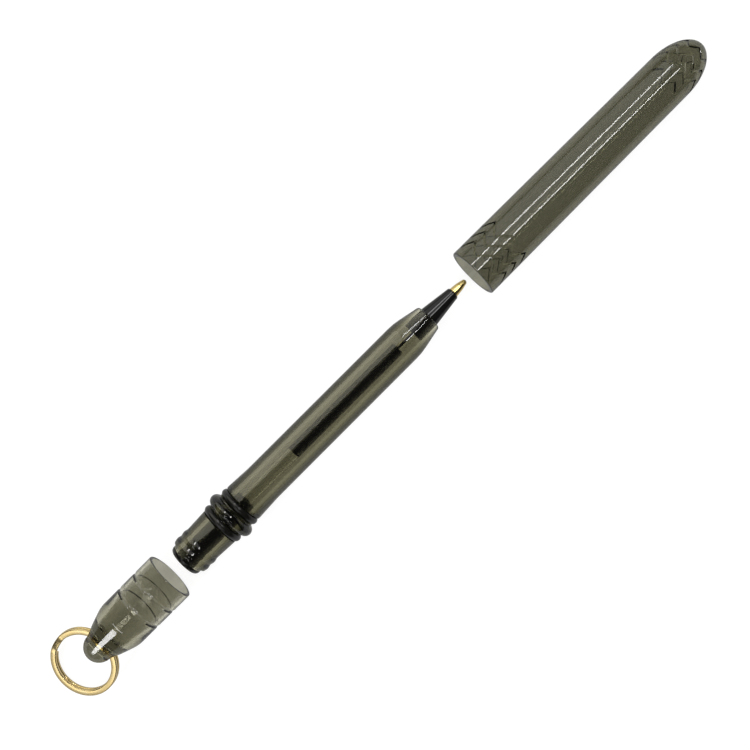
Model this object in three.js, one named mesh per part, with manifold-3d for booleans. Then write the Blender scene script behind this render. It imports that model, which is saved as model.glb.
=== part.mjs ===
// A pocket pen taken apart: a barrel with its refill, a long cap, an end cap and a split ring.
// Millimetres, +Z up. Everything lies on one axis along X, with the long cap's tip towards +X.
// Along the pen, places are counted from the middle of the barrel's collar; a cap's own places
// are counted from its mouth.
import * as THREE from 'three';
import { mergeVertices } from 'three/addons/utils/BufferGeometryUtils.js';
import Module from 'manifold-3d';

const wasm = await Module();
wasm.setup();

// Facets round the shells and round the thin inner pieces
const SHELL_FACETS = 32;
const CORE_FACETS = 20;
const SEAL_SIDES = 8;
const BALL_SIDES = 16;
const ARC_STEP_DEG = 20;
const NOSE_STEP_DEG = 11;

// Barrel
const BARREL_DIAMETER = 8.95;
const BARREL_BORE = 4.9;
const BARREL_FRONT = 60.2;
const FRONT_TAPER_LENGTH = 6.6;
const FRONT_FACE_DIAMETER = 6.25;
const FRONT_EDGE_RADIUS = 0.6;
const FLARE_DIAMETER = 9.5;
const FLARE_LENGTH = 5.2;
const FLARE_LAND = 0.7;
const FLARE_BLEND = 2;
const BARREL_BLEND = 15;
const COLLAR_DIAMETER = 11.6;
const COLLAR_BEAD_RADIUS = 1.35;
const COLLAR_FOOT_DIAMETER = 9.3;
const BOSS_DIAMETER = 9.3;
const BOSS_WAIST_DIAMETER = 8.8;
const BOSS_LENGTH = 14.3;
const BOSS_TIP_DIAMETER = 7.7;
const BOSS_TIP_LENGTH = 1.8;
const RIDGE_PLACE = 11.5;
const RIDGE_HEIGHT = 0.28;
const RIDGE_WIDTH = 1.9;
const RIDGE_PITCH = 1.95;
const RIDGE_COUNT = 2;

// Seal rings and their grooves
const SEAL_SECTION = 1.9;
const FRONT_SEAL_PLACE = 2.6;
const REAR_SEAL_PLACE = 2.45;
const SEAL_PLAY = 0.04;
const SEAL_CLEARANCE = 0.09;

// Long cap
const CAP_DIAMETER = 12;
const CAP_BORE = 10.15;
const CAP_DRAFT_DEG = 0.29;
const CAP_NOSE_LENGTH = 10.1;
const CAP_NOSE_WALL = 0.9;
const TIP_CLEARANCE = 0.5;
const SEAT_CLEARANCE = 0.1;
const LIP_RADIUS = 0.25;

// End cap
const END_DIAMETER = 11.7;
const END_BORE = 10.3;
const END_LENGTH = 24.4;
const END_SHOULDER = 14.9;
const END_SHOULDER_RADIUS = 7;
const END_DRAFT_DEG = 0.25;
const END_DOME_RADIUS = 3.45;
const END_CONE_PLACE = 8.9;
const END_CONE_TIP_DIAMETER = 7.2;
const END_CAVITY_DEPTH = 17.2;
const END_CAVITY_EDGE = 0.8;
const END_GROOVES = [4.8, 9.3];
const END_GROOVE_DEPTH = 0.26;
const END_GROOVE_WIDTH = 0.6;

// Chevron grooves: columns round each cap, pointing to the long cap's tip
const CHEVRON_COLUMNS = 7;
const CHEVRON_FILL = 0.94;
const CAP_ROLL_DEG = -3.5;
const CHEVRON_SLOPE = 1;
const CHEVRON_WIDTH = 0.55;
const CHEVRON_DEPTH = 0.28;
const CHEVRON_PITCH = 2.95;
const CHEVRON_ROWS = 3;
const CHEVRON_MOUTH_PLACE = 4.7;
const CHEVRON_NOSE_PLACE = 2.6;
const CHEVRON_NOSE_PITCH = 2.7;
const END_CHEVRON_PLACES = [2.3, 7];
const END_CHEVRON_DEPTH = 0.1;

// Nose cone, point and ball
const CONE_LENGTH = 7.55;
const CONE_TIP_DIAMETER = 2.8;
const CONE_TIP_EDGE = 0.3;
const CONE_SHANK_LENGTH = 5.3;
const SHANK_CLEARANCE = 0.05;
const POINT_LENGTH = 3.85;
const POINT_DIAMETER = 2.25;
const POINT_SHANK_DIAMETER = 1.7;
const POINT_SHANK_LENGTH = 9.2;
const POINT_FEED_BORE = 0.7;
const POINT_LIP_DIAMETER = 1.12;
const POINT_TAPER_PLACE = 1.9;
const POINT_TAPER_DIAMETER = 1.9;
const POINT_TAPER_BLEND = 3;
const BALL_DIAMETER = 1;
const BALL_SHOW = 0.25;
const BALL_CLEARANCE = 0.04;

// Refill and rear plug
const TUBE_DIAMETER = 3.1;
const TUBE_BORE = 2.2;
const TUBE_NECK_BORE = 0.9;
const TUBE_NECK_LENGTH = 4.3;
const TUBE_SOCKET_DEPTH = 3.2;
const INK_LENGTH = 31.5;
const INK_CLEARANCE = 0.04;
const INK_THREAD_DIAMETER = 0.56;
const PLUG_FRONT = 4.7;
const PLUG_VENT = 0.8;
const PLUG_HEAD_LENGTH = 1.15;
const PLUG_HEAD_EDGE = 1.05;

// Split ring and its hole
const RING_DIAMETER = 15.6;
const RING_WIRE_WIDTH = 1.3;
const RING_WIRE_THICKNESS = 0.7;
const RING_TURN_GAP = 0.1;
const RING_WIRE_EDGE = 0.14;
const RING_JOGGLE_DEG = 34;
const RING_JOGGLE_PLACE_DEG = 104;
const RING_END_GAP_DEG = 2;
const RING_STEPS_PER_TURN = 32;
const HOLE_DIAMETER = 3.3;
const HOLE_PLACE = 20.2;
const FLOOR_CLEARANCE = 0.02;

// How far apart the pieces lie
const CAP_GAP = 2.1;
const END_CAP_GAP = 3.95;

const rad = THREE.MathUtils.degToRad;

// An outline is a list of [place along the axis, radius]. A corner with a third number is
// rounded by an arc of that radius.
function outline(corners) {
  const points = [];
  corners.forEach(([x, r, fillet], i) => {
    const corner = new THREE.Vector2(x, r);
    if (!fillet) {
      points.push(corner);
      return;
    }
    const back = new THREE.Vector2(...corners[i - 1].slice(0, 2)).sub(corner).normalize();
    const ahead = new THREE.Vector2(...corners[i + 1].slice(0, 2)).sub(corner).normalize();
    const half = Math.acos(THREE.MathUtils.clamp(back.dot(ahead), -1, 1)) / 2;
    const centre = back.clone().add(ahead).setLength(fillet / Math.sin(half)).add(corner);
    const from = corner.clone().addScaledVector(back, fillet / Math.tan(half)).sub(centre);
    const to = corner.clone().addScaledVector(ahead, fillet / Math.tan(half)).sub(centre);
    const sweep = Math.atan2(from.cross(to), from.dot(to));
    const steps = Math.max(1, Math.ceil(Math.abs(sweep) / rad(ARC_STEP_DEG)));
    for (let k = 0; k <= steps; k++) {
      points.push(from.clone().rotateAround(new THREE.Vector2(), (sweep * k) / steps).add(centre));
    }
  });
  return points;
}

// Corners along an arc about a centre, from one angle to another, in degrees from the X axis
function arc([cx, cr], radiusX, radiusR, fromDeg, toDeg, stepDeg = ARC_STEP_DEG) {
  const steps = Math.round(Math.abs(toDeg - fromDeg) / stepDeg);
  return Array.from({ length: steps + 1 }, (_, k) => {
    const angle = rad(fromDeg + ((toDeg - fromDeg) * k) / steps);
    return [cx + radiusX * Math.cos(angle), cr + radiusR * Math.sin(angle)];
  });
}

// The corners of a round section, for a closed outline
function circle(centre, radius, sides) {
  return arc(centre, radius, radius, 90, 90 - 360 * (1 - 1 / sides), 360 / sides);
}

// A solid of revolution about the X axis. The outline runs towards +X on the outside. A facet,
// not an edge, faces down.
function turned(corners, facets, closed = false) {
  const points = outline(corners).map((p) => new THREE.Vector2(Math.max(p.y, 0), p.x));
  if (closed) points.push(points[0].clone());
  return new THREE.LatheGeometry(points, facets, Math.PI / facets).rotateZ(-Math.PI / 2);
}

function solidOf(geometry) {
  const bare = geometry.clone();
  bare.deleteAttribute('normal');
  bare.deleteAttribute('uv');
  const merged = mergeVertices(bare, 1e-4);
  return new wasm.Manifold(new wasm.Mesh({
    numProp: 3,
    vertProperties: merged.attributes.position.array,
    triVerts: new Uint32Array(merged.index.array),
  }));
}

function geometryOf(solid) {
  const mesh = solid.getMesh();
  const geometry = new THREE.BufferGeometry();
  geometry.setAttribute('position', new THREE.BufferAttribute(mesh.vertProperties, 3));
  geometry.setIndex(new THREE.BufferAttribute(mesh.triVerts, 1));
  return geometry;
}

// A closed tube of one section, given as a ring of points for each station
function loft(rings) {
  const count = rings[0].length;
  const position = rings.flat().flatMap((p) => p.toArray());
  const index = [];
  for (let s = 0; s + 1 < rings.length; s++) {
    for (let k = 0; k < count; k++) {
      const [a, b] = [s * count + k, s * count + ((k + 1) % count)];
      index.push(a, b, b + count, a, b + count, a + count);
    }
  }
  const last = (rings.length - 1) * count;
  for (let k = 1; k + 1 < count; k++) {
    index.push(0, k + 1, k, last, last + k, last + k + 1);
  }
  const geometry = new THREE.BufferGeometry();
  geometry.setAttribute('position', new THREE.Float32BufferAttribute(position, 3));
  geometry.setIndex(index);
  return geometry;
}

function piece(name, geometry, { colour, roughness, metalness = 0, opacity = 1 }) {
  const material = new THREE.MeshStandardMaterial({
    color: colour, roughness, metalness, opacity, transparent: opacity < 1,
  });
  const mesh = new THREE.Mesh(geometry, material);
  mesh.name = name;
  return mesh;
}

const SMOKE = { colour: 0x66624f, roughness: 0.12, opacity: 0.6 };
const BLACK_PLASTIC = { colour: 0x141414, roughness: 0.2 };
const BLACK_RUBBER = { colour: 0x1a1a17, roughness: 0.35 };
const BRASS = { colour: 0xd9a441, roughness: 0.2, metalness: 1 };
const CARBIDE = { colour: 0x8f8f92, roughness: 0.15, metalness: 1 };
const CLEAR = { colour: 0xd8d8cc, roughness: 0.1, opacity: 0.35 };
const INK = { colour: 0x0b0b0d, roughness: 0.3 };
const GOLD = { colour: 0xe0bf62, roughness: 0.18, metalness: 1 };

// Where the caps stop: the inner edge of a mouth meets the collar's bead
const beadCentre = COLLAR_DIAMETER / 2 - COLLAR_BEAD_RADIUS;
const stopAt = (bore) => Math.sqrt(COLLAR_BEAD_RADIUS ** 2 - (bore / 2 - beadCentre) ** 2);
const capStop = stopAt(CAP_BORE) + SEAT_CLEARANCE;
const endStop = -stopAt(END_BORE) - SEAT_CLEARANCE;

// Places along the pen
const coneFront = BARREL_FRONT + CONE_LENGTH;
const pointTip = coneFront + POINT_LENGTH;
const ballCentre = pointTip - BALL_DIAMETER / 2;
const tubeFront = BARREL_FRONT - CONE_SHANK_LENGTH + TUBE_SOCKET_DEPTH - SHANK_CLEARANCE;
const inkFront = tubeFront - TUBE_SOCKET_DEPTH - TUBE_NECK_LENGTH;
const tubeRear = PLUG_FRONT - TUBE_SOCKET_DEPTH + SHANK_CLEARANCE;
const bossStep = -BOSS_LENGTH + BOSS_TIP_LENGTH;
const plugSeat = -BOSS_LENGTH + PLUG_HEAD_LENGTH;

// The long cap is as deep as the pen needs
const capDepth = pointTip - capStop + TIP_CLEARANCE;
const capLength = capDepth + CAP_NOSE_WALL;
const capNose = capLength - CAP_NOSE_LENGTH;

// Seals follow the bores that they grip
const frontSeal = CAP_BORE / 2 - SEAL_CLEARANCE;
const rearSeal = END_BORE / 2 - SEAL_CLEARANCE;

// The barrel, its seals and what it holds

function ridges(base) {
  const half = RIDGE_WIDTH / 2;
  return Array.from({ length: RIDGE_COUNT }, (_, k) => RIDGE_PITCH * k - RIDGE_PLACE).flatMap((x) => [
    [x - half, base],
    [x, base + RIDGE_HEIGHT, half],
    [x + half, base],
  ]);
}

function barrel() {
  const grooveHalf = SEAL_SECTION / 2 + SEAL_PLAY;
  const grooveDepth = SEAL_SECTION + SEAL_PLAY;
  const foot = COLLAR_FOOT_DIAMETER / 2;
  const footDeg = THREE.MathUtils.radToDeg(Math.asin((foot - beadCentre) / COLLAR_BEAD_RADIUS));
  const flareFront = FRONT_SEAL_PLACE + grooveHalf + FLARE_LAND;
  const corners = [
    [plugSeat, BARREL_BORE / 2],
    [plugSeat, BOSS_TIP_DIAMETER / 2],
    [bossStep, BOSS_TIP_DIAMETER / 2],
    ...ridges(BOSS_WAIST_DIAMETER / 2),
    [-REAR_SEAL_PLACE - grooveHalf, BOSS_DIAMETER / 2],
    [-REAR_SEAL_PLACE - grooveHalf, rearSeal - grooveDepth],
    [-REAR_SEAL_PLACE + grooveHalf, rearSeal - grooveDepth],
    [-REAR_SEAL_PLACE + grooveHalf, foot],
    ...arc([0, beadCentre], COLLAR_BEAD_RADIUS, COLLAR_BEAD_RADIUS, 180 - footDeg, footDeg),
    [FRONT_SEAL_PLACE - grooveHalf, foot],
    [FRONT_SEAL_PLACE - grooveHalf, frontSeal - grooveDepth],
    [FRONT_SEAL_PLACE + grooveHalf, frontSeal - grooveDepth],
    [FRONT_SEAL_PLACE + grooveHalf, FLARE_DIAMETER / 2],
    [flareFront, FLARE_DIAMETER / 2, FLARE_BLEND],
    [flareFront + FLARE_LENGTH, BARREL_DIAMETER / 2, BARREL_BLEND],
    [BARREL_FRONT - FRONT_TAPER_LENGTH, BARREL_DIAMETER / 2, BARREL_BLEND],
    [BARREL_FRONT, FRONT_FACE_DIAMETER / 2, FRONT_EDGE_RADIUS],
    [BARREL_FRONT, BARREL_BORE / 2],
  ];
  return piece('barrel', turned(corners, SHELL_FACETS, true), SMOKE);
}

function sealRing(name, place, radius) {
  const section = circle([place, radius - SEAL_SECTION / 2], SEAL_SECTION / 2, SEAL_SIDES);
  return piece(name, turned(section, SHELL_FACETS, true), BLACK_RUBBER);
}

function noseCone() {
  const rear = BARREL_FRONT - CONE_SHANK_LENGTH;
  const shank = BARREL_BORE / 2 - SHANK_CLEARANCE;
  const socket = TUBE_DIAMETER / 2 + SHANK_CLEARANCE;
  const bore = POINT_SHANK_DIAMETER / 2 + SHANK_CLEARANCE;
  const corners = [
    [rear, socket],
    [rear, shank],
    [BARREL_FRONT, shank],
    [coneFront, CONE_TIP_DIAMETER / 2, CONE_TIP_EDGE],
    [coneFront, bore],
    [rear + TUBE_SOCKET_DEPTH, bore],
    [rear + TUBE_SOCKET_DEPTH, socket],
  ];
  return piece('nose_cone', turned(corners, SHELL_FACETS, true), BLACK_PLASTIC);
}

function pointSocket() {
  const cup = BALL_DIAMETER / 2 + BALL_CLEARANCE;
  const lip = pointTip - BALL_SHOW;
  const lipDeg = THREE.MathUtils.radToDeg(Math.acos((lip - ballCentre) / cup));
  const feedDeg = 180 - THREE.MathUtils.radToDeg(Math.asin(POINT_FEED_BORE / 2 / cup));
  const rear = coneFront - POINT_SHANK_LENGTH;
  const seat = coneFront + SHANK_CLEARANCE;
  const corners = [
    [rear, POINT_FEED_BORE / 2],
    [rear, POINT_SHANK_DIAMETER / 2],
    [seat, POINT_SHANK_DIAMETER / 2],
    [seat, POINT_DIAMETER / 2],
    [coneFront + POINT_TAPER_PLACE, POINT_TAPER_DIAMETER / 2, POINT_TAPER_BLEND],
    [lip, POINT_LIP_DIAMETER / 2],
    ...arc([ballCentre, 0], cup, cup, lipDeg, feedDeg),
  ];
  return piece('point_socket', turned(corners, CORE_FACETS, true), BRASS);
}

function writingBall() {
  const sphere = new THREE.SphereGeometry(BALL_DIAMETER / 2, BALL_SIDES, BALL_SIDES / 2);
  const ball = piece('writing_ball', sphere, CARBIDE);
  ball.position.x = ballCentre;
  return ball;
}

function refillTube() {
  const corners = [
    [tubeRear, TUBE_BORE / 2],
    [tubeRear, TUBE_DIAMETER / 2],
    [tubeFront, TUBE_DIAMETER / 2],
    [tubeFront, TUBE_NECK_BORE / 2],
    [inkFront, TUBE_NECK_BORE / 2],
    [inkFront, TUBE_BORE / 2],
  ];
  return piece('refill_tube', turned(corners, CORE_FACETS, true), CLEAR);
}

function inkColumn() {
  const column = TUBE_BORE / 2 - INK_CLEARANCE;
  const front = inkFront - INK_CLEARANCE;
  const threadFront = ballCentre - BALL_DIAMETER / 2 - BALL_CLEARANCE - INK_CLEARANCE;
  const corners = [
    [front - INK_LENGTH, 0],
    [front - INK_LENGTH, column],
    [front, column],
    [front, INK_THREAD_DIAMETER / 2],
    [threadFront, INK_THREAD_DIAMETER / 2],
    [threadFront, 0],
  ];
  return piece('ink_column', turned(corners, CORE_FACETS), INK);
}

function rearPlug() {
  const radius = BARREL_BORE / 2 - SHANK_CLEARANCE;
  const socket = TUBE_DIAMETER / 2 + SHANK_CLEARANCE;
  const floor = PLUG_FRONT - TUBE_SOCKET_DEPTH;
  const corners = [
    [-BOSS_LENGTH, PLUG_VENT / 2],
    [-BOSS_LENGTH, BOSS_TIP_DIAMETER / 2, PLUG_HEAD_EDGE],
    [plugSeat - SHANK_CLEARANCE, BOSS_TIP_DIAMETER / 2],
    [plugSeat - SHANK_CLEARANCE, radius],
    [PLUG_FRONT, radius],
    [PLUG_FRONT, socket],
    [floor, socket],
    [floor, PLUG_VENT / 2],
  ];
  return piece('rear_plug', turned(corners, SHELL_FACETS, true), BLACK_PLASTIC);
}

// The caps

// A V groove bent round a cap, with its point towards +X. Its sides lean out to as far above
// the surface as the groove is deep.
function chevron(radiusAt, place, middle, depth) {
  const reach = (Math.PI / CHEVRON_COLUMNS) * CHEVRON_FILL;
  const flank = CHEVRON_WIDTH * Math.hypot(1, CHEVRON_SLOPE);
  const at = (x, r, angle) => new THREE.Vector3(x, r * Math.sin(angle), r * Math.cos(angle));
  const stations = [-1, 0, 1].map((share) => {
    const x = place - CHEVRON_SLOPE * radiusAt(place) * reach * Math.abs(share);
    const angle = middle + reach * share;
    return [
      at(x, radiusAt(x) - depth, angle),
      at(x - flank, radiusAt(x - flank) + depth, angle),
      at(x + flank, radiusAt(x + flank) + depth, angle),
    ];
  });
  return solidOf(loft(stations));
}

function cutChevrons(solid, radiusAt, places, depth, rollDeg = 0) {
  let cut = solid;
  for (const place of places) {
    for (let column = 0; column < CHEVRON_COLUMNS; column++) {
      const middle = rad(rollDeg) + (2 * Math.PI * column) / CHEVRON_COLUMNS;
      cut = cut.subtract(chevron(radiusAt, place, middle, depth));
    }
  }
  return cut;
}

function capRadius(x) {
  const slope = Math.tan(rad(CAP_DRAFT_DEG));
  const straight = CAP_DIAMETER / 2 - slope * Math.min(x, capNose);
  const along = THREE.MathUtils.clamp((x - capNose) / CAP_NOSE_LENGTH, 0, 1);
  return straight * Math.sqrt(1 - along ** 2);
}

function longCap() {
  const slope = Math.tan(rad(CAP_DRAFT_DEG));
  const innerNose = CAP_BORE / 2 - slope * capNose;
  const corners = [
    ...arc([capNose, 0], capDepth - capNose, innerNose, 0, 90),
    [0, CAP_BORE / 2],
    [0, CAP_DIAMETER / 2, LIP_RADIUS],
    ...arc([capNose, 0], CAP_NOSE_LENGTH, capRadius(capNose), 90, 0, NOSE_STEP_DEG),
  ];
  const rows = Array.from({ length: CHEVRON_ROWS }, (_, k) => k);
  const places = [
    ...rows.map((k) => CHEVRON_MOUTH_PLACE + CHEVRON_PITCH * k),
    ...rows.map((k) => capLength - CHEVRON_NOSE_PLACE - CHEVRON_NOSE_PITCH * k),
  ];
  const plain = solidOf(turned(corners, SHELL_FACETS));
  const carved = cutChevrons(plain, capRadius, places, CHEVRON_DEPTH, CAP_ROLL_DEG);
  return piece('long_cap', geometryOf(carved), SMOKE);
}

const endSide = (x) => END_DIAMETER / 2 + Math.tan(rad(END_DRAFT_DEG)) * x;

// The straight taper runs from the shoulder to where it touches the domed tip
function endTangentDeg() {
  const across = new THREE.Vector2(END_LENGTH - END_DOME_RADIUS - END_SHOULDER, endSide(-END_SHOULDER));
  return THREE.MathUtils.radToDeg(across.angle() + Math.acos(END_DOME_RADIUS / across.length()));
}

function endCap() {
  const half = END_GROOVE_WIDTH / 2;
  const grooves = END_GROOVES.toReversed().flatMap((place) => [
    [-place - half, endSide(-place)],
    [-place, endSide(-place) - END_GROOVE_DEPTH],
    [-place + half, endSide(-place)],
  ]);
  const domeCentre = [-END_LENGTH + END_DOME_RADIUS, 0];
  const corners = [
    ...arc(domeCentre, END_DOME_RADIUS, END_DOME_RADIUS, 180, endTangentDeg()),
    [-END_SHOULDER, endSide(-END_SHOULDER), END_SHOULDER_RADIUS],
    ...grooves,
    [0, END_DIAMETER / 2, LIP_RADIUS],
    [0, END_BORE / 2],
    [-END_CONE_PLACE, END_BORE / 2],
    [-END_CAVITY_DEPTH, END_CONE_TIP_DIAMETER / 2, END_CAVITY_EDGE],
    [-END_CAVITY_DEPTH, 0],
  ];
  const hole = new THREE.CylinderGeometry(HOLE_DIAMETER / 2, HOLE_DIAMETER / 2, END_DIAMETER, SHELL_FACETS);
  hole.translate(-HOLE_PLACE, 0, 0);
  const drilled = solidOf(turned(corners, SHELL_FACETS)).subtract(solidOf(hole));
  const places = END_CHEVRON_PLACES.map((place) => -place);
  return piece('end_cap', geometryOf(cutChevrons(drilled, endSide, places, END_CHEVRON_DEPTH)), SMOKE);
}

// The split ring: one flat wire of two turns that climbs from the lower to the upper in a joggle.
// The origin is the middle of the hole, and the ring's plane is flat.
function splitRing() {
  const across = RING_WIRE_WIDTH / 2;
  const up = RING_WIRE_THICKNESS / 2;
  const level = (RING_WIRE_THICKNESS + RING_TURN_GAP) / 2;
  const section = [
    [across, up - RING_WIRE_EDGE],
    [across, -up + RING_WIRE_EDGE],
    [across - RING_WIRE_EDGE, -up],
    [-across + RING_WIRE_EDGE, -up],
    [-across, -up + RING_WIRE_EDGE],
    [-across, up - RING_WIRE_EDGE],
    [-across + RING_WIRE_EDGE, up],
    [across - RING_WIRE_EDGE, up],
  ];
  const joggleEnd = RING_JOGGLE_PLACE_DEG + RING_JOGGLE_DEG / 2;
  const from = joggleEnd + RING_END_GAP_DEG;
  const to = joggleEnd + 720 - RING_JOGGLE_DEG - RING_END_GAP_DEG;
  const climbFrom = joggleEnd + 360 - RING_JOGGLE_DEG;
  const steps = Math.round((2 * RING_STEPS_PER_TURN * (to - from)) / 720);
  const rings = Array.from({ length: steps + 1 }, (_, k) => {
    const degrees = from + ((to - from) * k) / steps;
    const climb = THREE.MathUtils.smoothstep(degrees, climbFrom, climbFrom + RING_JOGGLE_DEG);
    const height = level * (2 * climb - 1);
    return section.map(([out, rise]) => {
      const radius = RING_DIAMETER / 2 - across + out;
      const angle = rad(degrees);
      return new THREE.Vector3(
        radius * Math.cos(angle) - ringOffset, radius * Math.sin(angle), height + rise);
    });
  });
  return piece('split_ring', loft(rings), GOLD);
}

// The layout: the pen in one line, with both caps pulled off and the ring hanging to the floor

function endRadiusAtHole() {
  const tangent = rad(endTangentDeg());
  const touch = [-END_LENGTH + END_DOME_RADIUS * (1 + Math.cos(tangent)), END_DOME_RADIUS * Math.sin(tangent)];
  const share = (-HOLE_PLACE - touch[0]) / (-END_SHOULDER - touch[0]);
  return THREE.MathUtils.lerp(touch[1], endSide(-END_SHOULDER), share);
}

// The wire lies in the middle of its hole, on the outer edge at the axis and the inner edge at the sides
const innerRing = RING_DIAMETER / 2 - RING_WIRE_WIDTH;
const ringOffset = (RING_DIAMETER / 2 + Math.sqrt(innerRing ** 2 - endRadiusAtHole() ** 2)) / 2;

// The ring hangs until its far edge meets the floor
const axisHeight = (CAP_DIAMETER / 2) * Math.cos(Math.PI / SHELL_FACETS) - FLOOR_CLEARANCE;
const ringReach = new THREE.Vector2(ringOffset + RING_DIAMETER / 2, RING_WIRE_THICKNESS + RING_TURN_GAP / 2);
const ringDroop = Math.asin(axisHeight / ringReach.length()) - ringReach.angle();

const pen = new THREE.Group();
pen.add(
  barrel(),
  sealRing('front_seal_ring', FRONT_SEAL_PLACE, frontSeal),
  sealRing('rear_seal_ring', -REAR_SEAL_PLACE, rearSeal),
  noseCone(),
  pointSocket(),
  writingBall(),
  refillTube(),
  inkColumn(),
  rearPlug(),
);

const cap = longCap();
cap.position.x = pointTip + CAP_GAP;

const endGroup = new THREE.Group();
endGroup.position.x = -BOSS_LENGTH - END_CAP_GAP;
const ring = splitRing();
ring.position.x = -HOLE_PLACE;
ring.rotation.y = -ringDroop;
endGroup.add(endCap(), ring);
pen.add(cap, endGroup);

// The part's origin: on the floor, under the middle of the whole length
const reach = new THREE.Box3().setFromObject(pen, true);
pen.position.set(-(reach.min.x + reach.max.x) / 2, 0, -reach.min.z);

export default pen;
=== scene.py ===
import math
from bisect import bisect_right

import bpy
from bpy.props import FloatProperty, FloatVectorProperty, IntProperty, PointerProperty
from mathutils import Matrix, Vector


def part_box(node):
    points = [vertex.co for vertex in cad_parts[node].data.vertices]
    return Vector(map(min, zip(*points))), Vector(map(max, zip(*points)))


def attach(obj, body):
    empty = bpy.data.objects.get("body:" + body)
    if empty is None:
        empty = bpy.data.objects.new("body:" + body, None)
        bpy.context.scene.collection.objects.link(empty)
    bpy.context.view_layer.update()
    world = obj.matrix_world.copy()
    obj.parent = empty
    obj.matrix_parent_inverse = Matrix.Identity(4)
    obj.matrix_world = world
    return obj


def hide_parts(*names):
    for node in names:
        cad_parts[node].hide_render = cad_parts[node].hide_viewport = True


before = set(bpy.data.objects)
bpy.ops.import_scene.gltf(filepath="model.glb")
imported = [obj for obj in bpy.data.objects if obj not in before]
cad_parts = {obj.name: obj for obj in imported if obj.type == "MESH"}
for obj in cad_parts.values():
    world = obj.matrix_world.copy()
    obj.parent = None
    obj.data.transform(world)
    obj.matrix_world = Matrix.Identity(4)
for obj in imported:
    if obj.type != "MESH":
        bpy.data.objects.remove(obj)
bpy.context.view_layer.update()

bl_info = {
    "name": "Pocket Pen",
    "version": (1, 0, 0),
    "blender": (4, 5, 0),
    "location": "View3D > Sidebar > Pocket Pen",
    "description": "Builds a pocket pen with its caps off, and its studio, round the packed solids",
    "category": "Object",
}

MM = 0.001

# Sizes in millimetres that more than one piece uses
BORE_RADIUS = 2.45
SHANK_RADIUS = 2.4
BOSS_LENGTH = 14.3
BOSS_TIP_RADIUS = 3.85
PLUG_HEAD_LENGTH = 1.15
TUBE_SEAT_RADIUS = 1.6
FEED_RADIUS = 0.35
BALL_RADIUS = 0.5
HOLE_PLACE = 20.2
CHEVRONS = {"columns": 7, "fill": 0.94, "slope": 1, "width": 0.5}

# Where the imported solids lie. Places along the pen's axis are in millimetres from the middle of
# the barrel's collar, and places on a cap are from its mouth.
AXIS_Z = (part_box("long_cap")[0].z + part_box("long_cap")[1].z) / 2
COLLAR_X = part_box("rear_plug")[0].x + BOSS_LENGTH * MM
CAP_MOUTH_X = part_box("long_cap")[0].x
END_MOUTH_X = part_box("end_cap")[1].x
CAP_LENGTH = (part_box("long_cap")[1].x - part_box("long_cap")[0].x) / MM
BARREL_FRONT = (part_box("barrel")[1].x - COLLAR_X) / MM
CONE_FRONT = (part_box("nose_cone")[1].x - COLLAR_X) / MM
BALL_CENTRE = (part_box("writing_ball")[1].x - COLLAR_X) / MM - BALL_RADIUS

# Tolerances of the modelling steps, and facets round the thin pieces
NEAR = 1e-6
SMOOTH_ANGLE = math.radians(32)
CUT_ANGLE = math.radians(20)
SKIN_TOLERANCE = 0.01
SAME_FACING = 0.9
CHEVRON_STATIONS = 9
CORE_FACETS = 96
INK_FACETS = 64
BALL_FACETS = 48

# Materials: the depth of a bump in metres, and how strongly clear and hard plastics bend light
BUMP_DISTANCE = 0.0001
SMOKE_IOR = 1.57
TUBE_IOR = 1.49
PLASTIC_IOR = 1.5
INK_IOR = 1.4

# The photograph's width in pixels, the camera's focal length in pixels, and its sensor
PHOTO_WIDTH = 750
FOCAL_PIXELS = 1070
SENSOR_MM = 36
LAMP_DISTANCE = 0.6


# Outlines

def arc(centre, radius_x, radius_r, start, end, steps):
    """Corners along an arc about a centre, from one angle to another in degrees."""
    corners = []
    for k in range(steps + 1):
        angle = math.radians(start + (end - start) * k / steps)
        corners.append((
            centre[0] + radius_x * math.cos(angle),
            centre[1] + radius_r * math.sin(angle)))
    return corners


def rounded(corners, step=8):
    """Corners as points: a corner with a third number is rounded by an arc of that radius."""
    points = []
    for k, corner in enumerate(corners):
        here = Vector(corner[:2])
        if len(corner) == 2:
            points.append(here)
            continue
        back = (Vector(corners[k - 1][:2]) - here).normalized()
        ahead = (Vector(corners[(k + 1) % len(corners)][:2]) - here).normalized()
        half = back.angle(ahead) / 2
        centre = here + (back + ahead).normalized() * corner[2] / math.sin(half)
        start = here + back * corner[2] / math.tan(half) - centre
        end = here + ahead * corner[2] / math.tan(half) - centre
        sweep = math.atan2(start.x * end.y - start.y * end.x, start.dot(end))
        count = max(2, math.ceil(abs(math.degrees(sweep)) / step))
        for j in range(count + 1):
            points.append(centre + Matrix.Rotation(sweep * j / count, 2) @ start)
    return points


# Modelling steps

def select_only(*pieces):
    """Leaves edit mode and selects the given pieces alone, the last of them active."""
    if bpy.context.object and bpy.context.object.mode != "OBJECT":
        bpy.ops.object.mode_set(mode="OBJECT")
    bpy.ops.object.select_all(action="DESELECT")
    for piece in pieces:
        piece.select_set(True)
        bpy.context.view_layer.objects.active = piece


def begin(name):
    """Names the primitive that was just added and goes into edit mode."""
    piece = bpy.context.object
    piece.name = name
    piece.data.name = name
    bpy.ops.object.mode_set(mode="EDIT")
    return piece


def finish_mesh(piece, smooth=SMOOTH_ANGLE):
    """Closes seams and poles, turns the faces outwards and applies the piece's place."""
    bpy.ops.mesh.select_all(action="SELECT")
    bpy.ops.mesh.remove_doubles(threshold=NEAR)
    bpy.ops.mesh.normals_make_consistent(inside=False)
    bpy.ops.object.mode_set(mode="OBJECT")
    select_only(piece)
    bpy.ops.object.transform_apply(location=True, rotation=True, scale=True)
    bpy.ops.object.shade_smooth_by_angle(angle=smooth)
    return piece


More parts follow.
